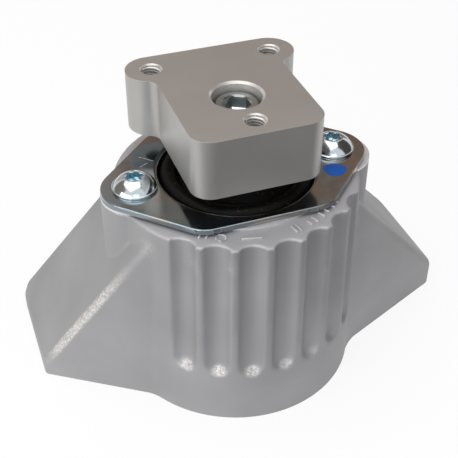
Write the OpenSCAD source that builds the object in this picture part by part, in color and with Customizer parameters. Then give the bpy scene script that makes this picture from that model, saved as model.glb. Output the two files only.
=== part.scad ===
// Engine mount: a cast aluminium pot with two swept feet, a fluid-filled rubber
// spring held in it by a zinc plated plate, and a machined block on top.
// Millimetres. The origin is on the pot's axis at the base. X runs along the
// two plate screws, Y to the back and Z up.

/* [Pot] */
// Radius of the pot wall at the base
base_r = 62; // [60:0.5:66]
// Height of the cast rim
rim_z = 107.5; // [104:0.5:112]
// Draft of the pot wall, in degrees
draft = 1; // [0.5:0.25:1.5]
// Radius of the machined seat under the plate
seat_r = 45; // [44.5:0.5:49]
// Height of the machined seat above the cast rim
seat_rise = 1; // [0.5:0.25:2]
// Radius of the bore that takes the spring insert
bore_r = 40.5; // [39.5:0.25:41.5]
// Height of the ledge that carries the insert
ledge_z = 48; // [44:1:52]
// Radius of the air chamber under the ledge
chamber_r = 35.5; // [35.3:0.1:37]
// Thickness of the pot's floor
floor_t = 12; // [8:1:18]
// Radius of the vent in the floor
vent_r = 4; // [2:0.5:8]
// Radius of the flat pad round the vent
vent_pad_r = 14; // [10:0.5:20]
// Radius of the shallow relief under the floor
relief_r = 44; // [30:1:52]
// Depth of the relief under the floor
relief_d = 2; // [1:0.5:4]
// Radius of the left screw boss
left_boss_r = 16.5; // [15:0.5:20]
// Radius of the right screw boss
right_boss_r = 19; // [16:0.5:20]
// Depth of the screw bosses' lower end below the ledge
boss_drop = 8; // [6:1:10]

/* [Flutes] */
// Number of flutes in the front wall
flute_count = 7; // [1:1:7]
// Angle between neighbouring flutes
flute_pitch = 15.5; // [15:0.25:16]
// Direction of the middle flute, seen from above
flute_mid = -87.5; // [-90:0.5:-85]
// Radius of a flute
flute_r = 7.6; // [6:0.2:9]
// Depth of a flute in the wall
flute_depth = 3.9; // [2:0.1:5]
// Height of the lower end of the flutes
flute_end_z = 29.5; // [20:0.5:50]

/* [Feet] */
// Distance from the axis to the left foot's tip
left_reach = 105.5; // [98:0.5:112]
// Height of the left foot's tip
left_tip_h = 8; // [6:0.5:14]
// Sweep of the left foot's front face, in degrees
left_sweep = 33.5; // [28:0.5:36]
// Sweep of the left foot's back face, in degrees
left_back_sweep = 37.5; // [34:0.5:39]
// Distance from the axis to the right foot's tip
right_reach = 123; // [114:0.5:128]
// Height of the right foot's tip
right_tip_h = 15; // [8:0.5:20]
// Sweep of the right foot's front face, in degrees
right_sweep = 23.5; // [20:0.5:28]
// Sweep of the right foot's back face, in degrees
right_back_sweep = 27; // [24:0.5:30]
// Size of each foot from front to back at its root
foot_depth = 61; // [57:1:64]
// Distance from the axis at which both sloping faces have their root height
root_x = 61; // [59:0.5:63]
// Height of the sloping faces at that distance
root_z = 87; // [80:0.5:92]
// Distance from the axis of the front face's root point
front_x = 58; // [56:0.5:60]
// Distance of that point in front of the axis
front_y = 27; // [24:0.5:30]
// Radius of the upright front edges at the tips
tip_r = 3; // [2:0.5:6]
// Radius of the upright back edges at the tips
tip_back_r = 5; // [3:0.5:8]
// Radius of the ridges in front of the sloping faces
ridge_r = 5; // [3:0.5:6]
// Radius of the ridges behind the sloping faces
back_ridge_r = 2; // [1:0.5:4]
// Radius of the upper edges of the tips
tip_edge_r = 2.5; // [2:0.5:5]
// Radius of the hollow between front face and pot
front_blend_r = 32; // [20:1:36]
// Radius of the hollow between back face and pot
back_blend_r = 8; // [6:1:12]
// Depth of the hollows' upper end below the rim
blend_gap = 8; // [6:1:10]
// Reach of the hollows' material into the foot
blend_root = 10; // [8:1:12]
// Wall thickness of the hollow feet
foot_wall = 8; // [6:0.5:10]

/* [Base fixing] */
// Distance from the axis to the left pair of base holes
base_left_x = 86; // [84:0.5:88]
// Distance from the axis to the right pair of base holes
base_right_x = 98; // [94:0.5:102]
// Distance of the middle of each pair behind the axis
base_mid_y = 23.5; // [22:0.5:25]
// Spacing of the two holes in a pair
base_pitch = 32; // [28:1:34]
// Depth of the base holes
base_depth = 22; // [16:1:24]
// Radius of the bosses round the base holes
base_boss_r = 10; // [8:0.5:11]

/* [Holding plate] */
// Thickness of the plate
plate_t = 3; // [2.5:0.25:4]
// Distance from a plate screw's axis to the end of the plate
plate_end = 16.25; // [13:0.25:17]
// Size of the plate from front to back
plate_depth = 86; // [83:0.5:90]
// Radius of the round ends
plate_end_r = 18; // [16:0.5:19]
// Radius of the four blunt corners
plate_corner_r = 14; // [4:1:20]
// Radius of the opening for the rubber
opening_r = 38; // [37.5:0.1:39]
// Radius on the upper edge of the opening
opening_edge_r = 2.4; // [1:0.1:2.5]

/* [Plate screws] */
// Spacing of the two screws
screw_pitch = 102; // [100:0.5:104]
// Thread radius
screw_r = 5; // [4:0.5:5]
// Radius of the head
head_r = 11; // [10:0.25:11.5]
// Height of the head
head_h = 6.4; // [5:0.2:7.5]
// Height of the upright edge under the dome
head_edge = 1.3; // [0.8:0.1:2]
// Radius of the flat on top of the head
head_flat_r = 5.2; // [5:0.1:6]
// Tip radius of the six-lobe socket
socket_r = 4.42; // [4:0.02:4.6]
// Depth of the six-lobe socket
socket_d = 3.6; // [2:0.2:4.2]
// Length under the head
screw_len = 26; // [18:1:30]

/* [Top block] */
// Height of the block's underside above the plate
block_gap = 10; // [6:0.5:14]
// Thickness of the block
block_h = 30; // [26:0.5:32]
// Width of the block's front part
block_w = 63.5; // [60:0.5:68]
// Distance from the axis to the front edge
block_front = 35; // [34:0.5:40]
// Radius of the two front corners
block_corner_r = 10; // [4:0.5:12]
// Spacing of the two rear holes
rear_pitch = 61; // [59:0.5:63]
// Distance of the rear holes behind the axis
rear_y = 36.8; // [35:0.2:40]
// Radius of the ears round the rear holes
ear_r = 12.5; // [11.5:0.25:13.5]
// Radius of the hollow necks beside the ears
neck_r = 6; // [3:0.5:9]
// Distance of the front hole in front of the axis
front_hole_y = 23.3; // [22:0.1:25]
// Core radius of the three tapped holes
tap_r = 4.25; // [3.4:0.05:4.3]
// Radius of the countersinks on the tapped holes
tap_sink_r = 5.6; // [4.6:0.1:6]

/* [Centre screw] */
// Radius of the head
cap_r = 10.5; // [9:0.25:11]
// Height of the head
cap_h = 14; // [12:0.5:14.5]
// Distance of the head below the top face
cap_sink = 4; // [2:0.25:5]
// Thread radius
stud_r = 7; // [6:0.5:7]
// Length under the head
stud_len = 42; // [34:1:46]
// Width of the hexagon socket across its flats
hex_af = 12; // [10:0.5:12]
// Depth of the hexagon socket
hex_d = 7; // [4:0.5:8]
// Radius of the recess round the head
sink_r = 12; // [11.5:0.1:12.5]
// Chamfer at the mouth of the recess
sink_chamfer = 1.1; // [0.5:0.1:1.5]
// Clearance radius of the hole under the recess
pass_r = 7.5; // [7.2:0.1:8]

/* [Rubber spring] */
// Radius of the core's top
core_top_r = 20; // [18:0.5:22]
// Radius of the core's shoulder in the rubber
core_wide_r = 25; // [23:0.5:27]
// Height of the block's underside above the core's shoulder
shoulder_drop = 16; // [15:0.5:17]
// Radius of the core's lower end
core_low_r = 13; // [11:0.5:15]
// Height of the core's lower end above the ledge
core_low = 27; // [24:1:30]
// Depth of the tapped hole in the core
core_tap = 32; // [31:1:34]
// Radius of the hollow under the rubber
hollow_r = 7; // [6:0.5:8]
// Distance of that hollow's centre outside the core's lower end
hollow_out = 12; // [11:0.5:13]
// Depth of that hollow's centre under the core's lower end
hollow_low = 5; // [4:0.5:6]
// Outer radius of the raised ring on the rubber
ring_out_r = 37.4; // [36:0.1:37.4]
// Height of that ring above the plate's top face
ring_rise = 0.5; // [-1:0.25:1.5]
// Wall thickness of the support sleeve
sleeve_t = 2; // [1.5:0.1:2.2]
// Radius of the sleeve's flange
flange_r = 41.8; // [41.6:0.2:43.4]
// Thickness of the sleeve's flange
flange_t = 2.5; // [2:0.25:3.5]

/* [Fluid parts] */
// Thickness of each channel plate
channel_t = 7; // [6:0.5:8]
// Inner radius of the long channel
track_in_r = 27; // [26:0.5:29]
// Width of the long channel
track_w = 7; // [5:0.5:8]
// Depth of the long channel
track_d = 4; // [3:0.25:4.5]
// Angle left closed between the channel's two ends
track_gap = 40; // [30:5:60]
// Radius of the membrane
membrane_r = 20.8; // [19:0.2:22]
// Thickness of the membrane's rim
membrane_rim = 4; // [3:0.25:5]
// Thickness of the membrane's web
membrane_web = 2; // [1.5:0.25:2.5]
// Radius of the small ports over the membrane
port_r = 2.6; // [2:0.1:3]
// Wall thickness of the bellows
bellows_t = 2; // [1.5:0.1:2.2]
// Thickness of the bellows' bead
bead_t = 4; // [3:0.25:5]
// Outer radius of the bellows' rolling fold
fold_r = 7; // [5:0.25:8]
// Depth of the fold's centre below the ledge
fold_drop = 14; // [10:0.5:18]
// Depth of the bellows' crown below the ledge
crown_drop = 4; // [2:0.5:8]
// Clearance between the bellows and the air chamber's wall
bellows_fit = 0.6; // [0.4:0.1:1.5]
// Section radius of the sealing ring
seal_r = 1.5; // [1:0.1:1.8]
// Radius of the locating pin
pin_r = 3; // [2:0.25:3.5]
// Length of the locating pin
pin_len = 12; // [8:1:16]
// Distance of the locating pin from the axis
pin_y = 13.5; // [12.5:0.25:14.5]

/* [Fits] */
// Radial clearance of the insert in its bore
bore_fit = 0.15; // [0.05:0.05:0.3]
// Radial clearance of screws in their tapped holes
thread_fit = 0.05; // [0.02:0.01:0.2]
// Radial clearance of screws in their plain holes
pass_fit = 0.5; // [0.2:0.1:1]
// Radial clearance of the locating pin
pin_fit = 0.01; // [0.01:0.01:0.05]

/* [Hidden] */
$fn = 96;
seat_z = rim_z + seat_rise;
plate_z = seat_z + plate_t;
block_z = plate_z + block_gap;
top_z = block_z + block_h;
screw_x = screw_pitch / 2;
rim_r = base_r - rim_z * tan(draft);
cap_z = top_z - cap_sink - cap_h;
bead_z = ledge_z + bead_t;
low_z = bead_z;
high_z = low_z + channel_t;
sleeve_z = high_z + channel_t;
insert_r = bore_r - bore_fit;
sleeve_in_r = insert_r - sleeve_t;
core_z = ledge_z + core_low;
ring_z = plate_z + ring_rise;
wide_z = block_z - shoulder_drop;
blend_drop = tan(draft);
// The feet and the bosses start inside the pot's wall
root_in_x = base_r / 3;
boss_z = ledge_z - boss_drop;
// Arcs on the casting stand proud by this much, so that they cross their faces and aren't tangent
lap = 0.02;

// Directions, half angle, tangent run and arc centre at corner i of an outline
function unit(v) = v / norm(v);
function before(pts, i) = unit(pts[(i + len(pts) - 1) % len(pts)] - pts[i]);
function after(pts, i) = unit(pts[(i + 1) % len(pts)] - pts[i]);
function half_angle(pts, i) = acos(before(pts, i) * after(pts, i)) / 2;
function corner_run(pts, rs, i) = rs[i] / tan(half_angle(pts, i));
function corner_centre(pts, rs, i) =
  pts[i] + unit(before(pts, i) + after(pts, i)) * rs[i] / sin(half_angle(pts, i));

// Convex outline with a true arc of radius rs[i] at each corner
module rounded_outline(pts, rs, proud = 0) {
  polygon([
    for (i = [0 : len(pts) - 1])
      for (side = [before(pts, i), after(pts, i)])
        pts[i] + side * corner_run(pts, rs, i)
  ]);
  for (i = [0 : len(pts) - 1]) {
    if (rs[i] > 0) {
      translate(corner_centre(pts, rs, i)) circle(rs[i] + proud);
    }
  }
}

// Cutter that rounds the straight edge between two faces with outward normals n1 and n2
module edge_rounding(p, n1, n2, r, run) {
  bis = unit(n1 + n2);
  along = unit(cross(n1, n2));
  h = acos(n1 * bis);
  turn = atan2(along[1], along[0]);
  tip = acos(along[2]);
  u = [cos(tip) * cos(turn), cos(tip) * sin(turn), -sin(tip)];
  v = [-sin(turn), cos(turn), 0];
  spin = atan2(bis * v, bis * u);
  translate(p - bis * r / cos(h))
    rotate([0, tip, turn])
      rotate([0, 0, spin])
        linear_extrude(2 * run, center = true)
          difference() {
            polygon([
              [r * cos(h), -r * sin(h)],
              [(r + 1) * cos(h), -(r + 1) * sin(h)],
              [(r + 1) / cos(h) + 2, 0],
              [(r + 1) * cos(h), (r + 1) * sin(h)],
              [r * cos(h), r * sin(h)],
            ]);
            circle(r + lap);
          }
}

// A foot points along +X here, and the left one is mirrored into place
function foot_y(x, sweep) = -front_y + (x - front_x) * tan(sweep);
function foot_back_y(x, sweep) = foot_depth + foot_y(x, sweep);
function foot_slope(reach, tip_h) = atan2(root_z - tip_h, reach - root_x);

module foot_plan(reach, sweep, back_sweep, wall, r, back_r) {
  x0 = root_in_x;
  x1 = reach - wall;
  rounded_outline(
    [
      [x0, foot_y(x0, sweep) + wall / cos(sweep)],
      [x1, foot_y(x1, sweep) + wall / cos(sweep)],
      [x1, foot_back_y(x1, back_sweep) - wall / cos(back_sweep)],
      [x0, foot_back_y(x0, back_sweep) - wall / cos(back_sweep)],
    ],
    [0, r, back_r, 0],
    lap
  );
}

// Side view of a foot: its sloping face lowered by drop and cut off at end_x and cap
module foot_profile(reach, tip_h, end_x, drop, cap) {
  slope = foot_slope(reach, tip_h);
  rotate([90, 0, 0])
    linear_extrude(4 * (foot_depth + front_y), center = true)
      polygon([
        [root_in_x, -1],
        [end_x, -1],
        [end_x, tip_h - drop + (reach - end_x) * tan(slope)],
        [reach - (cap + drop - tip_h) / tan(slope), cap],
        [root_in_x, cap],
      ]);
}

// Material in the hollow between a pot wall and a face with outward normal n, d from the axis
module foot_blend(n, d, r) {
  u = [-n[1], n[0]] * sign(-n[1]);
  cu = sqrt(pow(base_r + r, 2) - pow(d + r, 2));
  c = n * (d + r) + u * cu;
  difference() {
    linear_extrude(rim_z)
      polygon([c * 0.6, c * base_r / (base_r + r), c, n * d + u * cu, n * (d - blend_root) + u * cu]);
    translate([c[0], c[1], -1])
      cylinder(r1 = r + 0.25 - blend_drop, r2 = r + 0.25 + rim_z * blend_drop, h = rim_z + 1);
  }
}

// Height by which a blend beside the face with normal n stays below the sloping face
function blend_depth(n, top_n, r) =
  let (a = acos(n * top_n))
  (r * tan(a / 2) + 1) * sin(a) / top_n[2];

module foot(reach, tip_h, sweep, back_sweep) {
  slope = foot_slope(reach, tip_h);
  front_n = [sin(sweep), -cos(sweep), 0];
  back_n = [-sin(back_sweep), cos(back_sweep), 0];
  top_n = [sin(slope), 0, cos(slope)];
  y_tip = foot_y(reach, sweep);
  y_back = foot_back_y(reach, back_sweep);
  front_d = front_x * sin(sweep) + front_y * cos(sweep);
  back_d = (foot_depth - front_y) * cos(back_sweep) - front_x * sin(back_sweep);
  run = reach + rim_z;
  difference() {
    intersection() {
      linear_extrude(rim_z) foot_plan(reach, sweep, back_sweep, 0, tip_r, tip_back_r);
      foot_profile(reach, tip_h, reach, 0, rim_z - 0.5);
    }
    edge_rounding([reach, y_tip, tip_h], [1, 0, 0], top_n, tip_edge_r, run);
    edge_rounding([reach, y_tip, tip_h], front_n, top_n, ridge_r, run);
    edge_rounding([reach, y_back, tip_h], back_n, top_n, back_ridge_r, run);
  }
  intersection() {
    foot_blend([front_n[0], front_n[1]], front_d, front_blend_r);
    foot_profile(reach, tip_h, reach, blend_depth(front_n, top_n, ridge_r), rim_z - blend_gap);
    translate([0, -2 * base_r, 0]) cube([reach, 4 * base_r, rim_z]);
  }
  intersection() {
    foot_blend([back_n[0], back_n[1]], back_d, back_blend_r);
    foot_profile(reach, tip_h, reach, blend_depth(back_n, top_n, back_ridge_r), rim_z - blend_gap);
    translate([0, -2 * base_r, 0]) cube([reach, 4 * base_r, rim_z]);
  }
}

// Hollow inside a foot, open underneath
module foot_hollow(reach, tip_h, sweep, back_sweep) {
  slope = foot_slope(reach, tip_h);
  difference() {
    intersection() {
      translate([0, 0, -1])
        linear_extrude(rim_z) foot_plan(reach, sweep, back_sweep, foot_wall, 4, 4);
      foot_profile(reach, tip_h, reach - foot_wall, foot_wall / cos(slope), root_z - foot_wall);
    }
    translate([0, 0, -2]) cylinder(r = base_r - foot_wall, h = rim_z);
  }
}

module base_bosses(x) {
  for (side = [-1, 1]) {
    translate([x, base_mid_y + side * base_pitch / 2, -1]) cylinder(r = base_boss_r, h = rim_z);
  }
}

module base_holes(x) {
  for (side = [-1, 1]) {
    translate([x, base_mid_y + side * base_pitch / 2, -1]) cylinder(r = tap_r, h = base_depth + 1);
  }
}

module flutes() {
  run_out = sqrt(pow(flute_r, 2) - pow(flute_r - flute_depth, 2));
  for (i = [0 : flute_count - 1]) {
    rotate([0, 0, flute_mid + (i - (flute_count - 1) / 2) * flute_pitch])
      translate([base_r + flute_r - flute_depth, 0, 0])
        rotate([0, -draft, 0])
          translate([0, 0, flute_end_z + run_out]) {
            cylinder(r = flute_r, h = rim_z);
            sphere(flute_r);
          }
  }
}

module housing_body() {
  cylinder(r1 = base_r, r2 = rim_r, h = rim_z);
  translate([0, 0, ledge_z]) cylinder(r = seat_r, h = seat_z - ledge_z);
  translate([-screw_x, 0, boss_z]) cylinder(r = left_boss_r, h = seat_z - boss_z);
  translate([screw_x, 0, boss_z]) cylinder(r = right_boss_r, h = seat_z - boss_z);
  foot(right_reach, right_tip_h, right_sweep, right_back_sweep);
  mirror([1, 0, 0]) foot(left_reach, left_tip_h, left_sweep, left_back_sweep);
}

module housing() {
  color("#a7a8a5")
    difference() {
      housing_body();
      difference() {
        union() {
          foot_hollow(right_reach, right_tip_h, right_sweep, right_back_sweep);
          mirror([1, 0, 0]) foot_hollow(left_reach, left_tip_h, left_sweep, left_back_sweep);
        }
        base_bosses(base_right_x);
        base_bosses(-base_left_x);
      }
      base_holes(base_right_x);
      base_holes(-base_left_x);
      flutes();
      difference() {
        translate([0, 0, -1]) cylinder(r = relief_r, h = relief_d + 1);
        translate([0, 0, -2]) cylinder(r = vent_pad_r, h = relief_d + 3);
      }
      translate([0, 0, -1]) cylinder(r = vent_r, h = rim_z);
      translate([0, 0, floor_t]) cylinder(r = chamber_r, h = rim_z);
      translate([0, 0, ledge_z]) cylinder(r = bore_r, h = rim_z);
      translate([0, 0, seat_z - flange_t]) cylinder(r = flange_r + bore_fit, h = rim_z);
      for (side = [-1, 1]) {
        translate([side * screw_x, 0, seat_z - screw_len])
          cylinder(r = screw_r + thread_fit, h = screw_len + 1);
      }
    }
}

module holding_plate() {
  end_x = screw_x + plate_end - plate_end_r;
  tip_x = end_x + plate_end_r * sqrt(2);
  corner_x = tip_x - plate_depth / 2;
  color("#8a9193")
    translate([0, 0, seat_z])
      difference() {
        linear_extrude(plate_t)
          rounded_outline(
            [
              [corner_x, -plate_depth / 2],
              [tip_x, 0],
              [corner_x, plate_depth / 2],
              [-corner_x, plate_depth / 2],
              [-tip_x, 0],
              [-corner_x, -plate_depth / 2],
            ],
            [
              for (i = [0 : 5])
                i % 3 == 1 ? plate_end_r : plate_corner_r
            ]
          );
        translate([0, 0, -1]) cylinder(r = opening_r, h = plate_t + 2);
        translate([0, 0, plate_t - opening_edge_r])
          rotate_extrude()
            difference() {
              square([opening_r + opening_edge_r, opening_edge_r + 1]);
              translate([opening_r + opening_edge_r, 0]) circle(opening_edge_r);
            }
        for (side = [-1, 1]) {
          translate([side * screw_x, 0, -1]) cylinder(r = screw_r + pass_fit, h = plate_t + 2);
        }
      }
}

// Pan head screw with its underside at z = 0
module plate_screw() {
  rise = head_h - head_edge;
  dome_r = (pow(rise, 2) + pow(head_r, 2) - pow(head_flat_r, 2)) / (2 * rise);
  sunk = sqrt(pow(dome_r, 2) - pow(head_r, 2));
  color("#c4cdd2")
    difference() {
      union() {
        rotate_extrude()
          intersection() {
            square([head_r, head_h]);
            union() {
              square([head_r, head_edge]);
              translate([0, head_edge + rise - sqrt(pow(dome_r, 2) - pow(head_flat_r, 2))])
                circle(dome_r, $fn = 180);
            }
          }
        translate([0, 0, plate_t - screw_len]) cylinder(r = screw_r, h = screw_len - plate_t);
      }
      translate([0, 0, head_h - socket_d])
        linear_extrude(socket_d + 1)
          difference() {
            circle(socket_r);
            for (i = [0 : 5]) {
              rotate([0, 0, i * 60 + 30]) translate([socket_r + 0.35, 0]) circle(1.35);
            }
          }
    }
}

module plate_screw_left() {
  translate([-screw_x, 0, plate_z]) plate_screw();
}

module plate_screw_right() {
  translate([screw_x, 0, plate_z]) rotate([0, 0, 17]) plate_screw();
}

module block_outline() {
  ear = [rear_pitch / 2, rear_y];
  side_x = block_w / 2;
  neck = [side_x + neck_r, rear_y - sqrt(pow(ear_r + neck_r, 2) - pow(side_x + neck_r - ear[0], 2))];
  difference() {
    union() {
      rounded_outline(
        [[-side_x, -block_front], [side_x, -block_front], [side_x, rear_y], [-side_x, rear_y]],
        [block_corner_r, block_corner_r, 0, 0]
      );
      translate([-ear[0], rear_y - 1]) square([2 * ear[0], ear_r + 1]);
      for (side = [0, 1]) {
        mirror([side, 0]) {
          translate(ear) circle(ear_r);
          polygon([[side_x - 1, neck[1]], neck, ear]);
        }
      }
    }
    for (side = [0, 1]) {
      mirror([side, 0]) translate(neck) circle(neck_r);
    }
  }
}

// Tapped hole through the block with a countersink at its top
module block_tap(x, y) {
  sink = tap_sink_r - tap_r;
  translate([x, y, -1]) cylinder(r = tap_r, h = block_h + 2);
  translate([x, y, block_h - sink]) cylinder(r1 = tap_r, r2 = tap_sink_r + 1, h = sink + 1);
}

module top_block() {
  color("#9c9691")
    translate([0, 0, block_z])
      difference() {
        linear_extrude(block_h) block_outline();
        for (side = [-1, 1]) {
          block_tap(side * rear_pitch / 2, rear_y);
        }
        block_tap(0, -front_hole_y);
        translate([0, 0, -1]) cylinder(r = pass_r, h = block_h + 2);
        translate([0, 0, cap_z - block_z]) cylinder(r = sink_r, h = block_h);
        translate([0, 0, block_h - sink_chamfer])
          cylinder(r1 = sink_r, r2 = sink_r + sink_chamfer + 1, h = sink_chamfer + 1);
        translate([0, pin_y, -1]) cylinder(r = pin_r + pin_fit, h = pin_len / 2 + 1);
      }
}

module centre_screw() {
  edge = 1;
  hex_r = hex_af / sqrt(3);
  color("#9fb0b6")
    translate([0, 0, cap_z])
      difference() {
        union() {
          cylinder(r = cap_r, h = cap_h - edge);
          translate([0, 0, cap_h - edge]) cylinder(r1 = cap_r, r2 = cap_r - edge, h = edge);
          translate([0, 0, -stud_len]) cylinder(r = stud_r, h = stud_len + 1);
        }
        translate([0, 0, cap_h - hex_d]) cylinder(r = hex_r, h = hex_d + 1, $fn = 6);
        translate([0, 0, cap_h - 0.8]) cylinder(r1 = hex_r - 0.6, r2 = hex_r + 0.9, h = 1.5);
      }
}

module locating_pin() {
  color("#b9babb") translate([0, pin_y, block_z - pin_len / 2]) cylinder(r = pin_r, h = pin_len);
}

// Half section of the spring's metal core
function core_section() = [
  [0, core_z],
  [core_low_r, core_z],
  [core_wide_r, wide_z],
  [core_top_r, wide_z + 6],
  [core_top_r, block_z],
  [0, block_z],
];

module spring_core() {
  color("#8f9190")
    difference() {
      rotate_extrude() polygon(core_section());
      translate([0, 0, block_z - core_tap]) cylinder(r = stud_r + thread_fit, h = core_tap + 1);
      translate([0, pin_y, block_z - pin_len / 2]) cylinder(r = pin_r + pin_fit, h = pin_len);
    }
}

module rubber_spring() {
  ring_w = 4.2;
  ring_in = ring_out_r - 2 * ring_w;
  low = sleeve_z + 4;
  color("#171615")
    rotate_extrude()
      difference() {
        union() {
          polygon([
            [core_low_r - 1, core_z],
            [core_low_r + 3, core_z - 1],
            [sleeve_in_r - 5, low],
            [sleeve_in_r, low - 3],
            [sleeve_in_r, seat_z - flange_t],
            [ring_out_r, ring_z - ring_w],
            [ring_in, ring_z - ring_w],
            [core_top_r + 2.5, block_z - 8],
            [core_top_r - 1, block_z - 7],
          ]);
          translate([ring_out_r - ring_w, ring_z - ring_w]) circle(ring_w);
        }
        polygon(core_section());
        translate([core_low_r + hollow_out, core_z - hollow_low]) circle(hollow_r);
      }
}

module support_sleeve() {
  color("#7c8083")
    translate([0, 0, sleeve_z])
      difference() {
        union() {
          cylinder(r = insert_r, h = seat_z - sleeve_z);
          translate([0, 0, seat_z - sleeve_z - flange_t]) cylinder(r = flange_r, h = flange_t);
        }
        translate([0, 0, -1]) cylinder(r = sleeve_in_r, h = seat_z - sleeve_z + 2);
      }
}

module ports() {
  cylinder(r = port_r, h = 3 * channel_t, center = true);
  for (i = [0 : 5]) {
    rotate([0, 0, i * 60])
      translate([membrane_r * 0.5, 0, 0]) cylinder(r = port_r, h = 3 * channel_t, center = true);
  }
}

module upper_channel_plate() {
  slot_a = track_gap / 2 + 8;
  mid_r = track_in_r + track_w / 2;
  color("#a3a5a4")
    translate([0, 0, high_z])
      difference() {
        cylinder(r = insert_r, h = channel_t);
        ports();
        translate([0, 0, -1]) cylinder(r = membrane_r, h = membrane_rim / 2 + 1);
        rotate([0, 0, slot_a]) translate([mid_r, 0, -1]) cylinder(r = 2.4, h = channel_t + 2);
        translate([0, 0, channel_t / 2])
          rotate_extrude()
            translate([insert_r + bore_fit - 2 * seal_r, -seal_r]) square([4 * seal_r, 2 * seal_r]);
      }
}

module lower_channel_plate() {
  slot_a = track_gap / 2 + 8;
  mid_r = track_in_r + track_w / 2;
  color("#9b9d9c")
    translate([0, 0, low_z])
      difference() {
        cylinder(r = insert_r, h = channel_t);
        ports();
        translate([0, 0, channel_t - membrane_rim / 2]) cylinder(r = membrane_r, h = channel_t);
        rotate([0, 0, track_gap / 2])
          translate([0, 0, channel_t - track_d])
            rotate_extrude(angle = 360 - track_gap)
              translate([track_in_r, 0]) square([track_w, track_d + 1]);
        rotate([0, 0, -slot_a]) translate([mid_r, 0, -1]) cylinder(r = 2.4, h = channel_t + 2);
      }
}

module membrane() {
  color("#232120")
    translate([0, 0, high_z])
      rotate_extrude()
        union() {
          translate([0, -membrane_web / 2]) square([membrane_r - 1, membrane_web]);
          translate([membrane_r - 3, -membrane_rim / 2]) square([3, membrane_rim]);
        }
}

module sealing_ring() {
  color("#1b1a19")
    translate([0, 0, high_z + channel_t / 2])
      rotate_extrude()
        translate([bore_r - seal_r, 0]) circle(seal_r, $fn = 48);
}

// Rolling bellows: a bead under the channel plate and a hanging fold
module bellows() {
  leg_out = chamber_r - bellows_fit;
  fold_x = leg_out - fold_r;
  fold_z = ledge_z - fold_drop;
  crown_z = ledge_z - crown_drop;
  color("#1e1c1b")
    rotate_extrude()
      union() {
        translate([leg_out - bellows_t, ledge_z]) square([insert_r - leg_out + bellows_t, bead_t]);
        translate([leg_out - bellows_t, fold_z]) square([bellows_t, ledge_z - fold_z + 1]);
        intersection() {
          translate([fold_x, fold_z])
            difference() {
              circle(fold_r);
              circle(fold_r - bellows_t);
            }
          translate([0, fold_z - 2 * fold_r]) square([insert_r, 2 * fold_r]);
        }
        translate([fold_x - fold_r, fold_z]) square([bellows_t, crown_z - fold_z]);
        translate([0, crown_z - bellows_t]) square([fold_x - fold_r + bellows_t, bellows_t]);
      }
}

housing();
holding_plate();
plate_screw_left();
plate_screw_right();
top_block();
centre_screw();
locating_pin();
spring_core();
rubber_spring();
support_sleeve();
upper_channel_plate();
membrane();
lower_channel_plate();
sealing_ring();
bellows();
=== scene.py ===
# Engine mount, dressed for a studio picture. Everything is in metres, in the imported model's frame.
import math
import bmesh
import bpy
import numpy
from mathutils import Matrix, Vector


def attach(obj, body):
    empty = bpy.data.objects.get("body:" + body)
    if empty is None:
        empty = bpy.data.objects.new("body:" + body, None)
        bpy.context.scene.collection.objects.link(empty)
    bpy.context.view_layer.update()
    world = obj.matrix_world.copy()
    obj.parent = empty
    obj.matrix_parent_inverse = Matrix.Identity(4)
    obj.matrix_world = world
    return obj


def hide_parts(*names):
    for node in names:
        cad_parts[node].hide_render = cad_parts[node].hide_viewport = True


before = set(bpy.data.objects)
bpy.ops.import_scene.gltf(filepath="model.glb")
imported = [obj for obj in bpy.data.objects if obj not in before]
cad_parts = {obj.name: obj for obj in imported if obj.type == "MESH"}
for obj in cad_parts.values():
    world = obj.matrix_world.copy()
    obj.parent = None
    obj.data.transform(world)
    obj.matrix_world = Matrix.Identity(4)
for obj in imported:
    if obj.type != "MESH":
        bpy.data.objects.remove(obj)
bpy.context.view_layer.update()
scene = bpy.context.scene
mm = 0.001
touching = 0.001 * mm  # closer than this is the same place
nearWall = 0.05 * mm  # a point this close to a hole's radius lies on its wall
mixFactor, mixFirst, mixSecond, mixResult = 0, 6, 7, 2  # the colour sockets of a Mix node
print("frame loaded,", len(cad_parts), "nodes")


def toLinear(hexText):  # an sRGB hex colour as the nodes take it
    parts = [int(hexText[i:i + 2], 16) / 255 for i in (1, 3, 5)]
    return [c / 12.92 if c <= 0.04045 else ((c + 0.055) / 1.055) ** 2.4 for c in parts] + [1.0]


def addNode(tree, kind, inputs=None, **settings):  # an input takes a value or another node's output
    node = tree.nodes.new("ShaderNode" + kind)
    for name, value in settings.items():
        setattr(node, name, value)
    for key, value in (inputs or {}).items():
        if isinstance(value, bpy.types.NodeSocket):
            tree.links.new(value, node.inputs[key])
        else:
            node.inputs[key].default_value = value
    return node


def startMaterial(name, metallic, roughness):
    material = bpy.data.materials.new(name)
    material.use_nodes = True
    tree = material.node_tree
    shader = tree.nodes["Principled BSDF"]
    shader.inputs["Metallic"].default_value = metallic
    shader.inputs["Roughness"].default_value = roughness
    place = addNode(tree, "TexCoord").outputs["Object"]
    return material, tree, shader, place


def joinShader(tree, shader, colour, rough, bump):
    tree.links.new(colour, shader.inputs["Base Color"])
    if rough:
        tree.links.new(rough, shader.inputs["Roughness"])
    tree.links.new(bump.outputs["Normal"], shader.inputs["Normal"])


def perMetre(sizeInMm):  # noise scale that gives features of this size
    return 1000 / sizeInMm


def wavesPerMetre(sizeInMm):  # wave scale that repeats at this size
    return perMetre(sizeInMm) * math.pi / 10


# ---- materials, with their patterns' sizes and depths in mm

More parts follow.
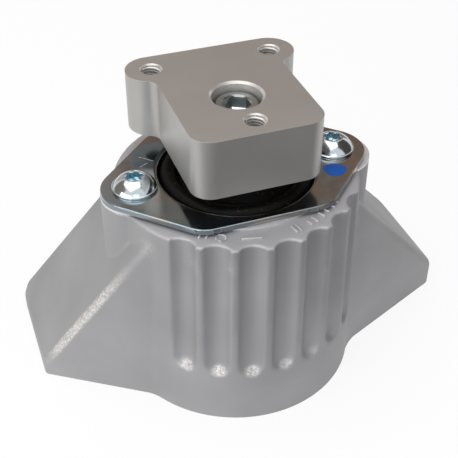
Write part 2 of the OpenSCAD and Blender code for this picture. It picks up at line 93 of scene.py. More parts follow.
castLook = {
    # the third and fourth colours are painted light: a bright glint on rough spots and a lighter rim
    # top
    "dark": "#8f8f90", "light": "#9a9a9b", "paintedGlint": "#d0ccc7", "paintedTopLight": "#adadb0",
    "patch": 42, "toneFrom": 0.3, "toneTo": 0.7,
    "fine": 0.45, "gritAndGlint": 1.0,  # coarser than a real blast grain, so that they show
    "peakFrom": 0.4, "peakTo": 0.62, "peakLeast": 0.15,
    "roughHigh": 0.62, "roughLow": 0.5,
    "fineBump": 0.35, "fineDepth": 0.07, "gritBump": 0.7, "gritDepth": 0.45,
}


def makeCast(look):
    # Shot-blasted cast aluminium: dull light grey, finely grained, rough where its grit mask asks
    # for it, with a painted glint of bright sparkle there, and a painted lighter top on the rim as
    # if lit from above
    material, tree, shader, place = startMaterial("shotBlastedCastAluminium", 0.5, 0.55)
    patch = addNode(tree, "TexNoise", {
        "Vector": place, "Scale": perMetre(look["patch"]), "Detail": 2.0}).outputs["Fac"]
    grain = addNode(tree, "TexNoise", {
        "Vector": place, "Scale": perMetre(look["fine"]), "Detail": 2.0,
        "Roughness": 0.6}).outputs["Fac"]
    gritAndGlint = addNode(tree, "TexNoise", {
        "Vector": place, "Scale": perMetre(look["gritAndGlint"]), "Detail": 2.0,
        "Roughness": 0.6, "Distortion": 0.6}).outputs["Fac"]
    tone = addNode(tree, "ValToRGB", {"Fac": patch})
    first, last = tone.color_ramp.elements[0], tone.color_ramp.elements[1]
    first.position, last.position = look["toneFrom"], look["toneTo"]
    first.color, last.color = toLinear(look["dark"]), toLinear(look["light"])
    # painted glint: where the grit mask and the grit noise peak, a bright sparkle colour is mixed
    # in; the mask also deepens the real grit bumps
    mask = addNode(tree, "Attribute", attribute_name="gritAndGlint").outputs["Fac"]
    peaks = addNode(tree, "MapRange", {
        "Value": gritAndGlint, "From Min": look["peakFrom"], "From Max": look["peakTo"],
        "To Min": look["peakLeast"], "To Max": 1.0}).outputs["Result"]
    paintedGlintShare = addNode(tree, "Math", {0: peaks, 1: mask},
                  operation="MULTIPLY", use_clamp=True).outputs["Value"]
    # painted light: the rim's top is coloured lighter, as if lit from above
    topLightShare = addNode(tree, "Attribute", attribute_name="paintedTopLight").outputs["Fac"]
    plain = addNode(tree, "Mix", {
        mixFactor: topLightShare, mixFirst: tone.outputs["Color"], mixSecond: toLinear(look["paintedTopLight"])},
        data_type="RGBA").outputs[mixResult]
    colour = addNode(tree, "Mix", {
        mixFactor: paintedGlintShare, mixFirst: plain, mixSecond: toLinear(look["paintedGlint"])},
        data_type="RGBA").outputs[mixResult]
    rough = addNode(tree, "MapRange", {
        "Value": grain, "From Min": 0.3, "From Max": 0.7,
        "To Min": look["roughHigh"], "To Max": look["roughLow"]}).outputs["Result"]
    fine = addNode(tree, "Bump", {
        "Height": grain, "Strength": look["fineBump"], "Distance": look["fineDepth"] * mm})
    depth = addNode(tree, "Math", {0: mask, 1: look["gritBump"]},
                    operation="MULTIPLY", use_clamp=True).outputs["Value"]
    coarse = addNode(tree, "Bump", {
        "Height": gritAndGlint, "Strength": depth, "Distance": look["gritDepth"] * mm,
        "Normal": fine.outputs["Normal"]})
    joinShader(tree, shader, colour, rough, coarse)
    return material


seatLook = {
    "dark": "#c6c6c8", "base": "#dcdcdf", "spot": 4,
    "line": 0.9,  # coarser than real turning marks, so that they show
    "roughLow": 0.24, "roughHigh": 0.42, "bump": 0.25, "depth": 0.04,
}


def makeSeat(look):
    # Faced aluminium seat: bright, with fine rings from the turning tool
    material, tree, shader, place = startMaterial("facedAluminium", 0.6, 0.3)
    rings = addNode(tree, "TexWave", {
        "Vector": place, "Scale": wavesPerMetre(look["line"]), "Distortion": 0.4},
        wave_type="RINGS", rings_direction="Z").outputs["Fac"]
    spots = addNode(tree, "TexNoise", {
        "Vector": place, "Scale": perMetre(look["spot"]), "Detail": 3.0}).outputs["Fac"]
    rough = addNode(tree, "MapRange", {
        "Value": spots, "To Min": look["roughLow"], "To Max": look["roughHigh"]}).outputs["Result"]
    colour = addNode(tree, "Mix", {
        mixFactor: spots, mixFirst: toLinear(look["dark"]), mixSecond: toLinear(look["base"])},
        data_type="RGBA").outputs[mixResult]
    cut = addNode(tree, "Bump", {
        "Height": rings, "Strength": look["bump"], "Distance": look["depth"] * mm})
    joinShader(tree, shader, colour, rough, cut)
    return material


blockLook = {
    "dark": "#a6a5a2", "light": "#b1b0ad", "grain": 0.5, "patch": 22,
    "roughLow": 0.34, "roughHigh": 0.44, "bump": 0.2, "depth": 0.06,
}


def makeBlock(look):
    # Milled and finely blasted aluminium: satin, even, with a faint grain and soft reflections
    material, tree, shader, place = startMaterial("satinBlastedAluminium", 0.8, 0.4)
    patch = addNode(tree, "TexNoise", {
        "Vector": place, "Scale": perMetre(look["patch"]), "Detail": 2.0}).outputs["Fac"]
    grain = addNode(tree, "TexNoise", {
        "Vector": place, "Scale": perMetre(look["grain"]), "Detail": 2.0}).outputs["Fac"]
    colour = addNode(tree, "Mix", {
        mixFactor: patch, mixFirst: toLinear(look["dark"]), mixSecond: toLinear(look["light"])},
        data_type="RGBA").outputs[mixResult]
    rough = addNode(tree, "MapRange", {
        "Value": grain, "To Min": look["roughLow"], "To Max": look["roughHigh"]}).outputs["Result"]
    fine = addNode(tree, "Bump", {
        "Height": grain, "Strength": look["bump"], "Distance": look["depth"] * mm})
    joinShader(tree, shader, colour, rough, fine)
    return material


cutLook = {
    "dark": "#bfbdb9", "base": "#d2d0cc", "spot": 3,
    "line": 0.8,  # coarser than real turning marks, so that they show
    "roughLow": 0.26, "roughHigh": 0.38, "bump": 0.12, "depth": 0.04,
}


def makeCut(look):
    # Freshly cut aluminium in threads, bores and countersinks: bright satin, fine turning lines
    material, tree, shader, place = startMaterial("brightCutAluminium", 0.5, 0.3)
    spots = addNode(tree, "TexNoise", {
        "Vector": place, "Scale": perMetre(look["spot"]), "Detail": 2.0}).outputs["Fac"]
    lines = addNode(tree, "TexWave", {
        "Vector": place, "Scale": wavesPerMetre(look["line"]), "Distortion": 0.3},
        bands_direction="Z").outputs["Fac"]
    rough = addNode(tree, "MapRange", {
        "Value": spots, "To Min": look["roughLow"], "To Max": look["roughHigh"]}).outputs["Result"]
    fine = addNode(tree, "Bump", {
        "Height": lines, "Strength": look["bump"], "Distance": look["depth"] * mm})
    colour = addNode(tree, "Mix", {
        mixFactor: spots, mixFirst: toLinear(look["dark"]), mixSecond: toLinear(look["base"])},
        data_type="RGBA").outputs[mixResult]
    joinShader(tree, shader, colour, rough, fine)
    return material


plateLook = {
    "cool": "#8c979d", "warm": "#a09a92", "bare": "#e8ecee",
    "patch": 26, "toneFrom": 0.4, "toneTo": 0.65,
    "haze": 5, "hazeFrom": 0.3, "hazeTo": 0.7, "roughLow": 0.1, "roughHigh": 0.2,
    "bump": 0.12, "depth": 0.1,
    "breaks": 0.9, "breakFrom": 0.25, "breakTo": 0.5, "scratchDull": 0.4,
    "longScratch": {
        "centre": (-0.0395, 0.0213, 0.1115), "turn": -0.785, "length": 5.2, "width": 0.45},
    "shortScratch": {
        "centre": (-0.0417, 0.0167, 0.1115), "turn": 0.47, "length": 3.2, "width": 0.3},
    "fullWidth": 0.3, "fullLength": 0.7,  # the shares over which a scratch isn't faded
}


def addScratch(tree, place, look, centre, turn, length, width):  # a straight mask, 1 on its line
    local = addNode(tree, "Mapping", {
        "Vector": place, "Location": centre, "Rotation": (0, 0, turn)},
        vector_type="TEXTURE").outputs["Vector"]
    split = addNode(tree, "SeparateXYZ", {"Vector": local})
    across = addNode(tree, "Math", {0: split.outputs["Y"]}, operation="ABSOLUTE").outputs["Value"]
    along = addNode(tree, "Math", {0: split.outputs["X"]}, operation="ABSOLUTE").outputs["Value"]
    near = addNode(tree, "MapRange", {
        "Value": across, "From Min": width * mm,
        "From Max": look["fullWidth"] * width * mm}).outputs["Result"]
    inside = addNode(tree, "MapRange", {
        "Value": along, "From Min": length * mm,
        "From Max": look["fullLength"] * length * mm}).outputs["Result"]
    return addNode(tree, "Math", {0: near, 1: inside}, operation="MULTIPLY").outputs["Value"]


def makePlate(look):
    # Bright zinc plating on steel: mirror-like under a light haze, between a cool blue
    # passivation and a warmer tone, with two handling scratches
    material, tree, shader, place = startMaterial("brightZincPlateSteel", 1.0, 0.16)
    patch = addNode(tree, "TexNoise", {
        "Vector": place, "Scale": perMetre(look["patch"]), "Detail": 2.0}).outputs["Fac"]
    haze = addNode(tree, "TexNoise", {
        "Vector": place, "Scale": perMetre(look["haze"]), "Detail": 4.0}).outputs["Fac"]
    tone = addNode(tree, "ValToRGB", {"Fac": patch})
    first, last = tone.color_ramp.elements[0], tone.color_ramp.elements[1]
    first.position, last.position = look["toneFrom"], look["toneTo"]
    first.color, last.color = toLinear(look["cool"]), toLinear(look["warm"])
    longScratch = addScratch(tree, place, look, **look["longScratch"])
    shortScratch = addScratch(tree, place, look, **look["shortScratch"])
    nicks = addNode(tree, "Math", {0: longScratch, 1: shortScratch},
                    operation="MAXIMUM").outputs["Value"]
    broken = addNode(tree, "TexNoise", {
        "Vector": place, "Scale": perMetre(look["breaks"]), "Detail": 1.0}).outputs["Fac"]
    mask = addNode(tree, "Math", {0: nicks, 1: broken}, operation="MULTIPLY").outputs["Value"]
    bright = addNode(tree, "MapRange", {
        "Value": mask, "From Min": look["breakFrom"],
        "From Max": look["breakTo"]}).outputs["Result"]
    colour = addNode(tree, "Mix", {
        mixFactor: bright, mixFirst: tone.outputs["Color"], mixSecond: toLinear(look["bare"])},
        data_type="RGBA").outputs[mixResult]
    rough = addNode(tree, "MapRange", {
        "Value": haze, "From Min": look["hazeFrom"], "From Max": look["hazeTo"],
        "To Min": look["roughLow"], "To Max": look["roughHigh"]}).outputs["Result"]
    dull = addNode(tree, "Math", {0: bright, 1: look["scratchDull"], 2: rough},
                   operation="MULTIPLY_ADD").outputs["Value"]
    ripple = addNode(tree, "Bump", {
        "Height": haze, "Strength": look["bump"], "Distance": look["depth"] * mm})
    joinShader(tree, shader, colour, dull, ripple)
    return material


screwLook = {
    "patch": 5, "marks": 1.2, "marksFrom": 0.35, "marksTo": 0.65, "bump": 0.25, "depth": 0.15,
}


def makeScrewZinc(look, name, cool, warm, roughLow, roughHigh):
    # Blue passivated zinc on a forged screw: near mirror, tinted teal in its recesses
    material, tree, shader, place = startMaterial(name, 1.0, roughLow)
    patch = addNode(tree, "TexNoise", {
        "Vector": place, "Scale": perMetre(look["patch"]), "Detail": 2.0}).outputs["Fac"]
    fineMarks = addNode(tree, "TexNoise", {
        "Vector": place, "Scale": perMetre(look["marks"]), "Detail": 3.0}).outputs["Fac"]
    colour = addNode(tree, "Mix", {
        mixFactor: patch, mixFirst: toLinear(cool), mixSecond: toLinear(warm)},
        data_type="RGBA").outputs[mixResult]
    rough = addNode(tree, "MapRange", {
        "Value": fineMarks, "From Min": look["marksFrom"], "From Max": look["marksTo"],
        "To Min": roughLow, "To Max": roughHigh}).outputs["Result"]
    dents = addNode(tree, "Bump", {
        "Height": patch, "Strength": look["bump"], "Distance": look["depth"] * mm})
    joinShader(tree, shader, colour, rough, dents)
    return material


capLook = {
    "cool": "#8a9193", "warm": "#9a9995", "patch": 6,
    "ring": 1.7,  # coarser than real turning marks, so that they show
    "roughLow": 0.22, "roughHigh": 0.36, "bump": 0.5, "depth": 0.12,
}


def makeCapFace(look):
    # Zinc on a turned screw head: greyish, softly glossy, with turned rings round the socket
    material, tree, shader, place = startMaterial("turnedZincCap", 0.9, 0.28)
    patch = addNode(tree, "TexNoise", {
        "Vector": place, "Scale": perMetre(look["patch"]), "Detail": 2.0}).outputs["Fac"]
    rings = addNode(tree, "TexWave", {
        "Vector": place, "Scale": wavesPerMetre(look["ring"]), "Distortion": 0.2},
        wave_type="RINGS", rings_direction="Z").outputs["Fac"]
    colour = addNode(tree, "Mix", {
        mixFactor: patch, mixFirst: toLinear(look["cool"]), mixSecond: toLinear(look["warm"])},
        data_type="RGBA").outputs[mixResult]
    rough = addNode(tree, "MapRange", {
        "Value": patch, "To Min": look["roughLow"], "To Max": look["roughHigh"]}).outputs["Result"]
    grooves = addNode(tree, "Bump", {
        "Height": rings, "Strength": look["bump"], "Distance": look["depth"] * mm})
    joinShader(tree, shader, colour, rough, grooves)
    return material


rubberLook = {
    "ior": 1.52, "specular": 0.12, "skin": 1.5, "film": 12,
    "specks": 1.1, "speckFrom": 0.7, "speckTo": 0.76, "speckCover": 0.8,
    "roughLow": 0.42, "roughHigh": 0.6, "bump": 0.25, "depth": 0.12,
}


def makeRubber(look, name, base, dust, speck):
    # Moulded natural rubber: black, faintly sheened, with dust and rust specks lying in it
    material, tree, shader, place = startMaterial(name, 0.0, 0.5)
    shader.inputs["IOR"].default_value = look["ior"]
    shader.inputs["Specular IOR Level"].default_value = look["specular"]
    skin = addNode(tree, "TexNoise", {
        "Vector": place, "Scale": perMetre(look["skin"]), "Detail": 3.0}).outputs["Fac"]
    film = addNode(tree, "TexNoise", {
        "Vector": place, "Scale": perMetre(look["film"]), "Detail": 3.0}).outputs["Fac"]
    gritAndGlint = addNode(tree, "TexNoise", {
        "Vector": place, "Scale": perMetre(look["specks"]), "Detail": 1.0}).outputs["Fac"]
    dusty = addNode(tree, "Mix", {
        mixFactor: film, mixFirst: toLinear(base), mixSecond: toLinear(dust)},
        data_type="RGBA").outputs[mixResult]
    spot = addNode(tree, "MapRange", {
        "Value": gritAndGlint, "From Min": look["speckFrom"], "From Max": look["speckTo"],
        "To Max": look["speckCover"]}).outputs["Result"]
    colour = addNode(tree, "Mix", {
        mixFactor: spot, mixFirst: dusty, mixSecond: toLinear(speck)},
        data_type="RGBA").outputs[mixResult]
    rough = addNode(tree, "MapRange", {
        "Value": skin, "To Min": look["roughLow"], "To Max": look["roughHigh"]}).outputs["Result"]
    fine = addNode(tree, "Bump", {
        "Height": skin, "Strength": look["bump"], "Distance": look["depth"] * mm})
    joinShader(tree, shader, colour, rough, fine)
    return material


def makePlainMetal(name, dark, light, roughLow, roughHigh, grain, depth):
    # Hidden metal parts: even metal with the grain that its making leaves
    material, tree, shader, place = startMaterial(name, 1.0, roughLow)
    marks = addNode(tree, "TexNoise", {
        "Vector": place, "Scale": perMetre(grain), "Detail": 3.0}).outputs["Fac"]
    colour = addNode(tree, "Mix", {
        mixFactor: marks, mixFirst: toLinear(dark), mixSecond: toLinear(light)},
        data_type="RGBA").outputs[mixResult]
    rough = addNode(tree, "MapRange", {
        "Value": marks, "To Min": roughLow, "To Max": roughHigh}).outputs["Result"]
    fine = addNode(tree, "Bump", {"Height": marks, "Strength": 0.3, "Distance": depth * mm})
    joinShader(tree, shader, colour, rough, fine)
    return material


paintLook = {
    "dark": "#08499a", "light": "#0a57ac", "specular": 0.2, "streak": 3, "bump": 0.3, "depth": 0.1,
}


def makePaint(look):
    # Brushed-on marking enamel: solid blue, slightly glossy, a little thinner in streaks
    material, tree, shader, place = startMaterial("blueMarkingEnamel", 0.0, 0.5)
    shader.inputs["Specular IOR Level"].default_value = look["specular"]
    streak = addNode(tree, "TexNoise", {
        "Vector": place, "Scale": perMetre(look["streak"]), "Detail": 3.0}).outputs["Fac"]
    colour = addNode(tree, "Mix", {
        mixFactor: streak, mixFirst: toLinear(look["dark"]), mixSecond: toLinear(look["light"])},
        data_type="RGBA").outputs[mixResult]
    fine = addNode(tree, "Bump", {
        "Height": streak, "Strength": look["bump"], "Distance": look["depth"] * mm})
    joinShader(tree, shader, colour, None, fine)
    return material


castMaterial = makeCast(castLook)
seatMaterial = makeSeat(seatLook)
blockMaterial = makeBlock(blockLook)
cutMaterial = makeCut(cutLook)
plateMaterial = makePlate(plateLook)
screwMaterial = makeScrewZinc(screwLook, "bluePassivatedZinc", "#b9c6cf", "#c9ced1", 0.1, 0.18)
# in the screw recess the teal is the passivation and the near-white patches are painted reflections;
# the hex socket's pale teal-to-white is a painted highlight
recessMaterial = makeScrewZinc(screwLook, "tealZincWithPaintedReflections", "#5f97a8", "#e3f0f3", 0.1, 0.2)
socketMaterial = makeScrewZinc(screwLook, "tealHexSocketWithPaintedHighlight", "#a8c4cc", "#e4eff2", 0.16, 0.26)
capMaterial = makeCapFace(capLook)
rubberMaterial = makeRubber(rubberLook, "mouldedBlackRubber", "#030302", "#060505", "#6b3f22")
softMaterial = makeRubber(rubberLook, "softDiaphragmRubber", "#151413", "#201e1c", "#2c2926")
coreMaterial = makePlainMetal("turnedAluminiumCore", "#8d8e8d", "#a4a5a3", 0.32, 0.48, 1.4, 0.08)
sleeveMaterial = makePlainMetal("pressedSteelSleeve", "#6c6f71", "#83878a", 0.3, 0.42, 2.2, 0.08)
channelMaterial = makePlainMetal(
    "dieCastChannelAlloy", "#919391", "#a9aba9", 0.42, 0.58, 1.2, 0.14)
pinMaterial = makePlainMetal("groundSteelPin", "#a8a9a9", "#b8b9b8", 0.16, 0.26, 0.8, 0.03)
print("materials made")


# ---- pieces, with their sizes in mm and angles in degrees

def mergedCopy(nodeName):  # a CAD node's loose triangles as one closed bmesh
    bm = bmesh.new()
    bm.from_mesh(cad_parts[nodeName].data)
    bmesh.ops.remove_doubles(bm, verts=bm.verts, dist=1e-6)
    for layer in list(bm.loops.layers.uv):
        bm.loops.layers.uv.remove(layer)
    return bm


def shadeByAngle(bm, degrees):
    for face in bm.faces:
        face.smooth = True
    for edge in bm.edges:
        edge.smooth = edge.calc_face_angle(0) < math.radians(degrees)


def addPiece(bm, name, materials, standsFor=()):
    mesh = bpy.data.meshes.new(name)
    bm.to_mesh(mesh)
    bm.free()
    piece = bpy.data.objects.new(name, mesh)
    scene.collection.objects.link(piece)
    for material in materials:
        mesh.materials.append(material)
    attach(piece, "root")
    if standsFor:
        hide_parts(*standsFor)
    return piece


def keepFlatsFlat(piece):  # large faces decide the normals, so the bevels carry the roundness
    crisp = piece.modifiers.new("crisp", "WEIGHTED_NORMAL")
    crisp.keep_sharp, crisp.weight = True, 60
    return piece


def flattenFaces(bm, degrees=0.5):  # join triangles that lie in one plane
    bmesh.ops.dissolve_limit(
        bm, angle_limit=math.radians(degrees), verts=bm.verts, edges=bm.edges)


def bevelSharp(bm, width, degrees, segments, wanted=lambda edge: True):
    sharp = math.radians(degrees)
    edges = [e for e in bm.edges if e.calc_face_angle(0) > sharp and wanted(e)]
    return bmesh.ops.bevel(
        bm, geom=edges, offset=width * mm, offset_type="OFFSET", affect="EDGES",
        segments=segments, profile=0.5, material=-1, clamp_overlap=True)


def cutAway(bm, point, normal):  # removes what lies on the normal's side and closes the cut
    found = bmesh.ops.bisect_plane(
        bm, geom=bm.verts[:] + bm.edges[:] + bm.faces[:], dist=1e-7,
        plane_co=point, plane_no=normal, clear_outer=True)
    rim = [part for part in found["geom_cut"] if isinstance(part, bmesh.types.BMEdge)]
    bmesh.ops.triangle_fill(bm, edges=rim, use_beauty=True, use_dissolve=False, normal=normal)


castBody = {
    "rimHeight": 107.48, "potRadius": 62, "skirt": 5, "crease": 50,
    "skin": 0.8, "keep": 0.29,  # the skin's voxel, and the share of its triangles that stays
    "softening": 3, "fluteSoftening": 12, "step": 0.5,
    "fluteInside": 9, "fluteOutside": 1.5, "fluteBottom": 12, "fluteBelowRim": 3,
    # from this height up the casting is painted lighter, standing in for light on the rim's top
    "paintedTopLightAbove": 106.6,
    # the left foot's front ridge, rough and with a painted glint, from its tip up to the pot
    "ridge": [(-104, 3.4, 10.7), (-62, -24.3, 85.2)], "ridgeHalf": 2.3, "ridgeMargin": 1,
    "ridgeBlur": 1.2, "tipFade": 0.12, "tipLeast": 0.1, "potFade": 0.3,
    # rough ends of the flutes with a painted glint, each an angle and a strength
    "fluteEnds": [(-133.4, 0.8), (-117.6, 1), (-102.2, 0.9), (-85.4, 0.5), (-70, 0.25)],
    "endRadius": 60, "endHeight": 31.2, "endSpread": 4.6, "endBlur": 2.2, "endSquash": 1.3,
    # rough spots under the rim with a painted glint, each an angle, a height, a spread and a
    # strength
    "roughSpots": [(-152, 97, 7, 0.3), (-131, 96, 6, 0.35), (-113, 97, 5, 0.3)],
    "footHoles": [(-86, 7.5), (-86, 39.5), (98, 7.5), (98, 39.5)],
    "core": 4.25, "root": 5.0, "holeDepth": 22, "pitch": 1.5, "threadStart": 0.8,
}


def readPoints(mesh, field="co"):
    values = numpy.empty(len(mesh.vertices) * 3)
    mesh.vertices.foreach_get(field, values)
    return values.reshape(-1, 3)


def evaluatedMesh(piece):  # bakes the live modifiers
    ready = piece.evaluated_get(bpy.context.evaluated_depsgraph_get())
    mesh = bpy.data.meshes.new_from_object(ready)
    piece.modifiers.clear()
    piece.data = mesh
    return mesh


def onPot(size, degrees, height):  # a point in mm on the fluted wall
    turn = math.radians(degrees)
    return numpy.array(
        (size["endRadius"] * math.cos(turn), size["endRadius"] * math.sin(turn), height))


def gritAndGlintOf(size, mesh):  # 0 to 1: where the casting is rough and a bright glint is painted
    points = readPoints(mesh) / mm
    start, end = (numpy.array(point) for point in size["ridge"])
    along = ((points - start) @ (end - start) / ((end - start) @ (end - start))).clip(0, 1)
    off = numpy.linalg.norm(points - start - along[:, None] * (end - start), axis=1)
    onRidge = ((size["ridgeHalf"] + size["ridgeMargin"] - off) / size["ridgeBlur"]).clip(0, 1)
    fromTip = (along / size["tipFade"]).clip(size["tipLeast"], 1)
    gritAndGlint = onRidge * fromTip * ((1 - along) / size["potFade"]).clip(0, 1)
    for angle, strength in size["fluteEnds"]:
        away = points - onPot(size, angle, size["endHeight"])
        away[:, 2] *= size["endSquash"]
        inEnd = ((size["endSpread"] - numpy.linalg.norm(away, axis=1)) / size["endBlur"]).clip(0, 1)
        gritAndGlint = numpy.maximum(gritAndGlint, inEnd * strength)
    for angle, height, spread, strength in size["roughSpots"]:
        away = points - onPot(size, angle, height)
        inSpot = ((spread - numpy.linalg.norm(away, axis=1)) / spread).clip(0, 1)
        gritAndGlint = numpy.maximum(gritAndGlint, inSpot * strength)
    return gritAndGlint


def makeCastBody(size):
    bm = mergedCopy("housing")
    cutAway(bm, (0, 0, size["rimHeight"] * mm), (0, 0, 1))
    for vert in bm.verts:
        if abs(vert.co.z) < touching:  # the walls run on below the base, to be cut clean later
            vert.co.z = -size["skirt"] * mm
        for x, y in size["footHoles"]:  # hole walls move out to the thread's root
            away = Vector((vert.co.x - x * mm, vert.co.y - y * mm))
            onWall = abs(away.length - size["core"] * mm) < nearWall
            if onWall and vert.co.z < (size["holeDepth"] + 1) * mm:
                vert.co.xy = Vector((x * mm, y * mm)) + away.normalized() * size["root"] * mm
    bmesh.ops.recalc_face_normals(bm, faces=bm.faces)
    piece = addPiece(bm, "castBody", [castMaterial, seatMaterial], ["housing"])
    skin = piece.modifiers.new("skin", "REMESH")
    skin.mode, skin.voxel_size, skin.use_smooth_shade = "VOXEL", size["skin"] * mm, True
    mesh = evaluatedMesh(piece)
    x, y, z = (readPoints(mesh) / mm).T
    out = numpy.hypot(x, y)
    inWall = (out > size["potRadius"] - size["fluteInside"]) & (
        out < size["potRadius"] + size["fluteOutside"])
    fluted = (y < 0) & inWall & (z > size["fluteBottom"]) & (
        z < size["rimHeight"] - size["fluteBelowRim"])
    group = piece.vertex_groups.new(name="fluted")
    group.add(numpy.nonzero(fluted)[0].tolist(), 1.0, "REPLACE")
    soften = piece.modifiers.new("soften", "SMOOTH")
    soften.factor, soften.iterations = size["step"], size["softening"]
    melt = piece.modifiers.new("melt", "SMOOTH")
    melt.factor, melt.iterations, melt.vertex_group = size["step"], size["fluteSoftening"], "fluted"
    thin = piece.modifiers.new("thin", "DECIMATE")
    thin.ratio = size["keep"]
    mesh = evaluatedMesh(piece)
    piece.vertex_groups.clear()
    gritAndGlint = gritAndGlintOf(size, mesh)
    mesh.attributes.new("gritAndGlint", "FLOAT", "POINT").data.foreach_set("value", gritAndGlint)
    # painted light: the casting's top millimetre fades into the lighter colour
    paintedTopLight = (readPoints(mesh)[:, 2] / mm - size["paintedTopLightAbove"]).clip(0, 1)
    mesh.attributes.new("paintedTopLight", "FLOAT", "POINT").data.foreach_set("value", paintedTopLight)
    bm = bmesh.new()
    bm.from_mesh(mesh)
    cutAway(bm, (0, 0, 0), (0, 0, -1))
    for face in bm.faces:  # the milled base
        onBase = face.normal.z < -0.99 and abs(face.calc_center_median().z) < 0.01 * mm
        face.material_index = 1 if onBase else 0
    shadeByAngle(bm, size["crease"])
    bm.to_mesh(mesh)
    bm.free()
    print("cast body", len(mesh.polygons), "faces, rough share", round(float(gritAndGlint.mean()), 4))
    return piece


makeCastBody(castBody)

machinedSeat = {"cut": 107.52, "bottom": 107.2, "crease": 35}


def makeMachinedSeat(size):  # only what stands above the cast rim
    bm = mergedCopy("housing")
    cutAway(bm, (0, 0, size["cut"] * mm), (0, 0, -1))
    for vert in bm.verts:
        if abs(vert.co.z - size["cut"] * mm) < touching:
            vert.co.z = size["bottom"] * mm
    bmesh.ops.recalc_face_normals(bm, faces=bm.faces)
    flattenFaces(bm)
    shadeByAngle(bm, size["crease"])
    return keepFlatsFlat(addPiece(bm, "machinedSeat", [seatMaterial]))


makeMachinedSeat(machinedSeat)

rimMarks = {
    "floor": 107.2, "top": 108.3, "radius": 51.5, "width": 0.9, "edge": 0.25, "crease": 70,
    # radial ticks, each an angle and a length
    "radial": [(-128.5, 4.5), (-125, 3.5), (-79.6, 5.5), (-77.2, 5.5), (-70, 4), (-66, 4.5),
               (-60.5, 4), (-56, 3.2), (-51, 4), (-46.5, 3.4)],
    "dash": (-102.4, 9.5),  # its angle and length round the rim
    "ring": (-117.8, 2.2), "ringHalf": 0.4,  # its angle and radius, and half its wall
    "paintedTopLight": 1.0, "gritAndGlint": 0.5,  # the tops take the painted lighter top in full and half of the rough grit with its painted glint
}


def makeRimMarks(size):  # plain raised ticks and an ejector ring, cast onto the rim
    bm = bmesh.new()
    bars = [(angle, length, size["width"]) for angle, length in size["radial"]]
    bars.append((size["dash"][0], size["width"], size["dash"][1]))
    height = (size["top"] - size["floor"]) * mm
    for angle, deep, wide in bars:
        made = bmesh.ops.create_cube(bm, size=1)["verts"]
        bmesh.ops.scale(bm, verts=made, vec=(deep * mm, wide * mm, height))
        bmesh.ops.translate(
            bm, verts=made, vec=(size["radius"] * mm, 0, size["floor"] * mm + height / 2))
        bmesh.ops.rotate(
            bm, verts=made, cent=(0, 0, 0),
            matrix=Matrix.Rotation(math.radians(angle), 3, "Z"))
    turn, ringRadius = math.radians(size["ring"][0]), size["ring"][1] * mm
    centre = Vector((math.cos(turn), math.sin(turn), 0)) * size["radius"] * mm
    start = centre + Vector((ringRadius, 0, 0))
    half, floor, top = size["ringHalf"] * mm, size["floor"] * mm, size["top"] * mm
    corners = [(-half, floor), (half, floor), (half, top), (-half, top)]
    verts = [bm.verts.new(start + Vector((r, 0, z))) for r, z in corners]
    face = bm.faces.new(verts)
    bmesh.ops.spin(
        bm, geom=[face] + list(face.edges) + verts, cent=centre, axis=(0, 0, 1),
        angle=2 * math.pi, steps=32, use_merge=True, use_duplicate=False)
    bmesh.ops.recalc_face_normals(bm, faces=bm.faces)
    bevelSharp(bm, size["edge"], degrees=60, segments=2)
    shadeByAngle(bm, size["crease"])
    piece = addPiece(bm, "rimMarks", [castMaterial])
    mesh = piece.data
    for name in ("paintedTopLight", "gritAndGlint"):
        values = [size[name]] * len(mesh.vertices)
        mesh.attributes.new(name, "FLOAT", "POINT").data.foreach_set("value", values)
    return piece


makeRimMarks(rimMarks)
print("casting made")

holdingPlate = {"edge": 0.45, "crease": 40}


def makeHoldingPlate(size):
    bm = mergedCopy("holding_plate")
    flattenFaces(bm)
    bevelSharp(bm, size["edge"], degrees=40, segments=3)
    shadeByAngle(bm, size["crease"])
    return keepFlatsFlat(
        addPiece(bm, "zincHoldingPlate", [plateMaterial], ["holding_plate"]))


makeHoldingPlate(holdingPlate)

plateScrew = {
    "offset": 51, "edge": 0.18, "crease": 40,
    "recessRadius": 4.9, "recessFloor": 112, "recessTop": 117.85,
    "domeRadius": 11.762, "domeHeight": 107.35, "domeSlack": 0.15,
}


def makePlateScrew(size, nodeName, pieceName, x):
    bm = mergedCopy(nodeName)
    flattenFaces(bm)
    for face in bm.faces:
        middle = face.calc_center_median() - Vector((x * mm, 0, 0))
        inRecess = middle.xy.length < size["recessRadius"] * mm and (
            middle.z < size["recessTop"] * mm and middle.z > size["recessFloor"] * mm)
        face.material_index = 1 if inRecess else 0
    bevelSharp(bm, size["edge"], degrees=40, segments=2)
    shadeByAngle(bm, size["crease"])
    piece = addPiece(bm, pieceName, [screwMaterial, recessMaterial], [nodeName])
    centre, mesh = Vector((x, 0, size["domeHeight"])) * mm, piece.data
    normals = [Vector((0, 0, 0))] * len(mesh.loops)
    for face in mesh.polygons:  # the dome shades as the true sphere it was turned to
        away = face.center - centre
        onSphere = abs(away.length - size["domeRadius"] * mm) < size["domeSlack"] * mm
        if face.normal.dot(away.normalized()) > 0.99 and onSphere:
            for corner in face.loop_indices:
                point = mesh.vertices[mesh.loops[corner].vertex_index].co
                normals[corner] = (point - centre).normalized()
    mesh.normals_split_custom_set(normals)
    return piece


makePlateScrew(plateScrew, "plate_screw_left", "plateScrewLeft", -plateScrew["offset"])
makePlateScrew(plateScrew, "plate_screw_right", "plateScrewRight", plateScrew["offset"])

topBlock = {
    "edge": 0.45, "crease": 40, "top": 151.5, "bottom": 121.5,
    "holes": [(-30.5, 36.8), (30.5, 36.8), (0, -23.3)],
    "core": 4.25, "root": 5.0, "pitch": 1.5, "threadBelowTop": 0.9,
    "mouthAbove": 140, "mouthBelowTop": 0.6,  # walls that end above the first stop at the second
    "holeZone": 6, "boreZone": 13.3,  # faces this close to a hole or the bore are freshly cut
}


